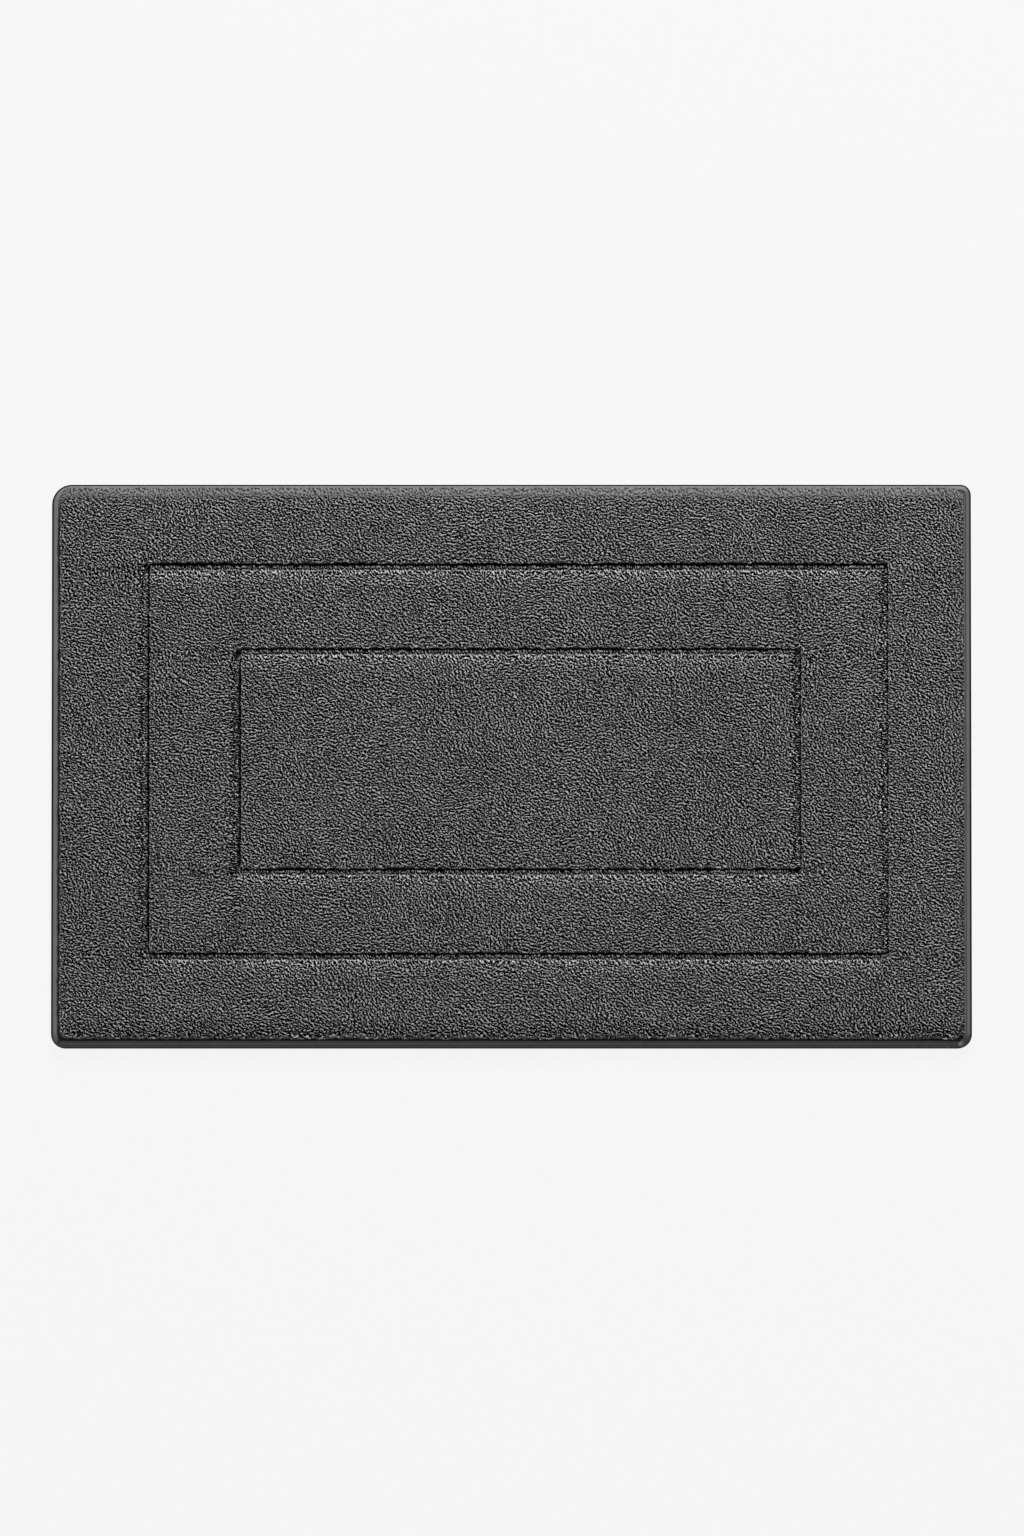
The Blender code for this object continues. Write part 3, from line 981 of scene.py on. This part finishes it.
LOOPS = dict(
    material=loop_yarn,
    foot_z=groove_low.z,
    height=groove_high.z - groove_low.z,
    depth=LOOP_DEPTH,
    roll=LOOP_ROLL,
    tables=GRAIN,
    steps=(STEP_LOOP, STEP_LOOP, STEP_LOOP),
)
for name, cad_node, around, inside, seed in (
    ("outer_loops", "outer_channel_loops", outer_hole, middle_outside, 44),
    ("inner_loops", "inner_channel_loops", middle_hole, centre_outside, 55),
):
    outside, hole = loops_outline(around, True), loops_outline(inside, False)
    loops = tufted_field(name, outside, hole, seed=seed, **LOOPS)
    place(loops, "loop_yarn", cad_node)


# ---------------------------------------------------------------- tape, folded round the edge


def mat_path(inset, corners, count):
    """Points, outward directions and run round the mat, anticlockwise from the right side's middle.

    corners are the radii at the back right, back left, front left and front right.
    """
    half_x, half_y = tape_high.x - inset, tape_high.y - inset
    radii = [max(radius - inset, 0.3 * MM) for radius in corners]
    pieces = []
    signs = ((1, 1), (-1, 1), (-1, -1), (1, -1))
    here = np.array([half_x, 0.0])
    for quarter, (radius, (sx, sy)) in enumerate(zip(radii, signs)):
        centre = np.array([sx * (half_x - radius), sy * (half_y - radius)])
        first = quarter * math.pi / 2
        begin = centre + radius * np.array([math.cos(first), math.sin(first)])
        pieces.append(("line", here, begin, first, np.linalg.norm(begin - here)))
        pieces.append(("arc", centre, radius, first, radius * math.pi / 2))
        last = first + math.pi / 2
        here = centre + radius * np.array([math.cos(last), math.sin(last)])
    pieces.append(("line", here, np.array([half_x, 0.0]), 0.0, np.linalg.norm(here - (half_x, 0.0))))
    total = sum(item[4] for item in pieces)
    runs = np.arange(count) / count * total
    points, facing = np.zeros((count, 2)), np.zeros(count)
    begin_run = 0.0
    for kind, a, b, angle, length in pieces:
        inside = (runs >= begin_run - 1e-12) & (runs < begin_run + length)
        part = (runs[inside] - begin_run) / max(length, 1e-12)
        if kind == "line":
            points[inside] = a + (b - a) * part[:, None]
            facing[inside] = angle
        else:
            turn = angle + part * math.pi / 2
            points[inside] = a + b * np.stack([np.cos(turn), np.sin(turn)], axis=1)
            facing[inside] = turn
        begin_run += length
    outward = np.stack([np.cos(facing), np.sin(facing)], axis=1)
    return points, outward, runs, total


def tape_section():
    """The tape's section as (inset from the mat's edge, height) pairs, once round, top edge first."""
    top, reach, under = tape_high.z, TAPE_TOP_REACH, TAPE_UNDER_REACH
    skin = []
    for share in np.linspace(0.0, 1.0, 9):
        inset = reach + (TAPE_SHOULDER - reach) * share
        skin.append((inset, top - TAPE_PULL * (1 - share) ** 2 - TAPE_CROWN * share**2))
    for angle in np.linspace(0.0, math.pi / 2, 7)[1:]:
        inset = TAPE_SHOULDER * (1 - math.sin(angle))
        skin.append((inset, top - TAPE_CROWN - TAPE_SHOULDER * (1 - math.cos(angle))))
    skin += [(0.25 * MM * bulge, z * top) for bulge, z in ((0.6, 0.6), (0.8, 0.42), (0.4, 0.28))]
    for angle in np.linspace(0.0, math.pi / 2, 5):
        inset = TAPE_HEEL * (1 - math.cos(angle))
        skin.append((inset, TAPE_HEEL * (1 - math.sin(angle))))
    skin += [(TAPE_HEEL + (under - TAPE_HEEL) * share, 0.0) for share in (0.3, 0.6, 1.0)]
    thick = TAPE_THICK
    lining = [(under, thick), (under * 0.6, thick), (thick + 1.2 * MM, thick), (thick, thick + 1.0 * MM)]
    lining += [(thick, top / 2), (thick, top - thick - 1.6 * MM), (thick + 1.0 * MM, top - thick - 0.5 * MM)]
    lining += [(reach * 0.6, top - thick - 0.2 * MM), (reach, top - thick - TAPE_PULL)]
    return skin + lining


def tape_painted_shading(insets, heights, outward):
    """How dark the tape is painted, from 0 to 1: painted shade at its shoulder and heel, and by how it faces
    the light.
    """
    facing, right, top = outward[:, 1], np.maximum(outward[:, 0], 0.0), tape_high.z
    # Painted shade on the fold of the shoulder, weaker at the front.
    shoulder = np.clip((1.6 * MM - insets) / (0.4 * MM), 0, 1)
    shoulder = shoulder * np.clip((heights - 0.5 * top) / (0.3 * top), 0, 1)
    # A painted contact shadow at the heel, highest at the front.
    heel = np.clip((np.interp(facing, *HEEL_TOP) * MM - heights) / HEEL_FADE, 0.0, 1.0) * (insets < HEEL_DEEP)
    # A painted shadow line inside the right side, next to the pile.
    inner = np.clip((insets - 3.9 * MM) / (0.6 * MM), 0.0, 1.0)
    painted_shading = np.maximum(shoulder * np.clip(1.0 + 2 * facing, 0.2, 1.0), heel)
    painted_shading = np.maximum(painted_shading, 0.6 * inner * right)
    # Each side painted lighter or darker by the way it faces the light.
    painted_shading = np.maximum(painted_shading, np.interp(facing, *PAINTED_SIDE_SHADING) + 0.06 * right)
    # Painted shade over the lit front right corner.
    return painted_shading + 0.6 * right * np.clip(-facing, 0.0, 1.0) * (painted_shading < 0.5)


def tape_piece():
    section = np.array(tape_section())
    size, count = len(section), int(2 * (tape_high.x + tape_high.y) * 2 / TAPE_STEP)
    rings = []
    for inset, height in section:
        points, outward, runs, _ = mat_path(inset, TAPE_CORNERS, count)
        wave = smooth_noise(points[:, 0], points[:, 1], 0.02, 61) - 0.5
        ripple = smooth_noise(points[:, 0], points[:, 1], 0.006, 62) - 0.5
        on_top = np.clip((height - 0.5 * tape_high.z) / (0.5 * tape_high.z), 0.0, 1.0)
        lift = (0.35 * wave + 0.2 * ripple) * MM * on_top
        sway = (0.25 * wave) * MM * np.clip(inset / TAPE_TOP_REACH, 0.0, 1.0) * on_top
        lap = np.clip((TAPE_LAP / 2 - np.abs(points[:, 0] - TAPE_LAP_X)) / (0.6 * MM), 0.0, 1.0)
        lap = lap * (outward[:, 1] > 0.9) * TAPE_LAP_RISE * (height > TAPE_THICK)
        x = points[:, 0] - outward[:, 0] * (sway - TAPE_SWELL[0])
        y = points[:, 1] - outward[:, 1] * sway + np.maximum(outward[:, 1], 0.0) * TAPE_SWELL[1]
        rings.append(np.stack([x, y, np.full(count, height) + lift + lap * on_top], axis=1))
    points = np.stack(rings, axis=1).reshape(-1, 3)
    index = np.arange(count * size).reshape(count, size)
    ahead, beside = np.roll(index, -1, axis=0), np.roll(index, -1, axis=1)
    both = np.roll(ahead, -1, axis=1)
    quads = np.stack([index, beside, both, ahead], axis=-1).reshape(-1, 4)
    insets, heights = (np.tile(section[:, axis], count) for axis in (0, 1))
    across = np.concatenate([[0], np.cumsum(np.hypot(*np.diff(section, axis=0).T))])
    return new_piece("edge_tape", points, quads, [], tape_cloth, None, {
        "painted_shading": tape_painted_shading(insets, heights, np.repeat(outward, size, axis=0)),
        "run": np.repeat(runs, size),
        "across": np.tile(across, count),
    })


_, tape_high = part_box("edge_binding")
tape_cloth = tape_material()
edge_tape = tape_piece()
place(edge_tape, "edge_tape", "edge_binding")

# ---------------------------------------------------------------- stitches


def stitches(name, cad_node, material, side):
    """A row of short stitches round the mat. Each one dives into the cloth at both ends.

    side is 1 for a row seen from above, and -1 for one seen from below.
    """
    low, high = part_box(cad_node)
    inset, height = tape_high.x - high.x + STITCH_THICK, (low.z + high.z) / 2
    total = mat_path(inset, TAPE_CORNERS, 1)[3]
    count = round(total / STITCH_PITCH)
    centre, outward, _, _ = mat_path(inset, TAPE_CORNERS, count)
    along = np.stack([-outward[:, 1], outward[:, 0]], axis=1)
    angles = np.arange(STITCH_SIDES) * 2 * math.pi / STITCH_SIDES
    rings, twists = [], []
    for share, width in STITCH_RINGS:
        middle_line = centre + along * share * STITCH_LONG / 2
        z = height - side * STITCH_BOW * share**2
        for angle in angles:
            reach = STITCH_THICK * width * math.cos(angle)
            rings.append(np.column_stack([
                middle_line + outward * reach,
                np.full(count, z + STITCH_THICK * width * math.sin(angle)),
            ]))
            twists.append(2 * angle + 2 * math.pi * share * 2)
    points = np.stack(rings, axis=1).reshape(-1, 3)
    ring_count, size = len(STITCH_RINGS), len(rings)
    one = np.arange(size).reshape(ring_count, STITCH_SIDES)
    beside = np.roll(one, -1, axis=1)
    shell = np.stack([one[:-1], one[1:], beside[1:], beside[:-1]], axis=-1).reshape(-1, 4)
    starts = np.arange(count)[:, None, None] * size
    quads = (shell[None] + starts).reshape(-1, 4)
    caps = [cap + start for start in starts.ravel() for cap in (one[0], one[-1][::-1])]
    piece = new_piece(name, points, quads, caps, material, None, {"ply": np.tile(twists, count)})
    return place(piece, "seam_thread", cad_node)


thread = thread_material()
stitches("needle_stitches", "binding_needle_thread", thread, 1)
stitches("bobbin_stitches", "binding_bobbin_thread", thread, -1)

# ---------------------------------------------------------------- cloth, latex and foam under the pile


def even_lines(half, step):
    return lines([-half, -half + LAYER_CORNER, half - LAYER_CORNER, half], [step / 2, step, step / 2])


def wander(amount, scale, seed):
    return lambda x, y: amount * (smooth_noise(x, y, scale, seed) - 0.5)


def slab(name, cad_node, step, material, **faces):
    """A layer as large as the mat, on grid lines about a step apart."""
    low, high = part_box(cad_node)
    xs, ys = (even_lines(half, step) for half in half_box(low, high))
    return layer(name, low, high, LAYER_CORNER, xs, ys, material, **faces)


primary_backing = slab(
    "backing_cloth", "primary_backing", CLOTH_STEP,
    cloth_material("backing_cloth", (0.13, 0.13, 0.13), 2.4 * MM, 2.0 * MM, 0.45, 0.86, 0.5),
    over=wander(CLOTH_WANDER, 0.012, 71), under=wander(CLOTH_WANDER, 0.012, 71),
)
place(primary_backing, "backing_cloth", "primary_backing")

foam_pad = slab(
    "foam_pad", "foam_core", FOAM_STEP, foam_material(),
    over=wander(-FOAM_WANDER, 0.009, 72), under=wander(FOAM_WANDER, 0.009, 73), edge=FOAM_EDGE,
)
place(foam_pad, "cushion_foam", "foam_core")

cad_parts["tuft_lock_latex"].material_slots[0].material = latex_material()

# ---------------------------------------------------------------- anti-slip sheet and care label

label_low, label_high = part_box("care_label")
grip_low, grip_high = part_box("antislip_backing")


def grip_lines(half, pitch, cells):
    """Grid lines with a whole number of cells to each dot, and the dots' real pitch."""
    pad = half - RIM_WIDE
    real_pitch = 2 * pad / round(2 * pad / pitch)
    made = lines(
        [-half, -pad - RIM_STEP, -pad, pad, pad + RIM_STEP, half],
        [CLOTH_STEP, RIM_STEP, real_pitch / cells, RIM_STEP, CLOTH_STEP],
    )
    return made, pad, real_pitch


def grip_relief(x, y):
    """How far the underside stands off the floor: the rim, the sheet, its dots and the label's pocket."""
    across, along = (x + pad_x) / pitch_x, (y + pad_y) / pitch_y
    row = np.round(along)
    odd = 0.5 * (row % 2)
    column = np.round(across - odd) + odd
    away = np.hypot((across - column) * pitch_x, (along - row) * pitch_y)
    dot = np.clip((away - DOT_FLAT) / (DOT_FOOT - DOT_FLAT), 0.0, 1.0)
    dot_x, dot_y = column * pitch_x - pad_x, row * pitch_y - pad_y
    on_pad = (np.abs(dot_x) < pad_x - DOT_FOOT) & (np.abs(dot_y) < pad_y - DOT_FOOT)
    clear = ~in_pocket(dot_x, dot_y, POCKET_SPARE + DOT_FOOT)
    relief = DOT_RISE * np.where(on_pad & clear, dot * dot * (3 - 2 * dot), 1.0)
    relief = np.where(in_pocket(x, y, POCKET_SPARE), POCKET_RISE, relief)
    outside = (np.abs(x) > pad_x + RIM_STEP / 2) | (np.abs(y) > pad_y + RIM_STEP / 2)
    return np.where(outside, RIM_RISE, relief)


def in_pocket(x, y, spare):
    inside_x = (x > label_low.x - spare) & (x < label_high.x + spare)
    return inside_x & (y > label_low.y - spare) & (y < label_high.y + spare)


half_x, half_y = half_box(grip_low, grip_high)
grip_x, pad_x, pitch_x = grip_lines(half_x, DOT_PITCH_X, DOT_CELLS_X)
grip_y, pad_y, pitch_y = grip_lines(half_y, DOT_PITCH_Y, DOT_CELLS_Y)
grip_sheet = layer(
    "grip_sheet", grip_low, grip_high, LAYER_CORNER, grip_x, grip_y, rubber_material(), under=grip_relief
)
place(grip_sheet, "grip_rubber", "antislip_backing")

label_middle = box_middle(label_low, label_high)


def label_wave(x, y):
    ripple = smooth_noise(x + label_middle[0], y + label_middle[1], 0.009, 81) - 0.5
    return LABEL_WAVE * ripple


def label_under(x, y):
    """The same gentle curl, with a thicker hem at the label's free end."""
    free_end = (label_low.y - label_high.y) / 2
    hem = np.clip(1 - (y - free_end - LABEL_HEM) / (0.4 * MM), 0.0, 1.0)
    return label_wave(x, y) - 0.15 * MM * hem


half_x, half_y = half_box(label_low, label_high)
label_piece = layer(
    "blank_label", label_low, label_high, 0.6 * MM,
    lines([-half_x, half_x], [LABEL_STEP]), lines([-half_y, half_y], [LABEL_STEP]),
    cloth_material("label_cloth", (0.80, 0.795, 0.78), 0.9 * MM, 0.7 * MM, 0.12, 0.6, 0.2),
    over=label_wave, under=label_under,
)
place(label_piece, "label_cloth", "care_label")

view = bpy.context.scene.view_settings
view.view_transform = "Standard"
view.look = "None"
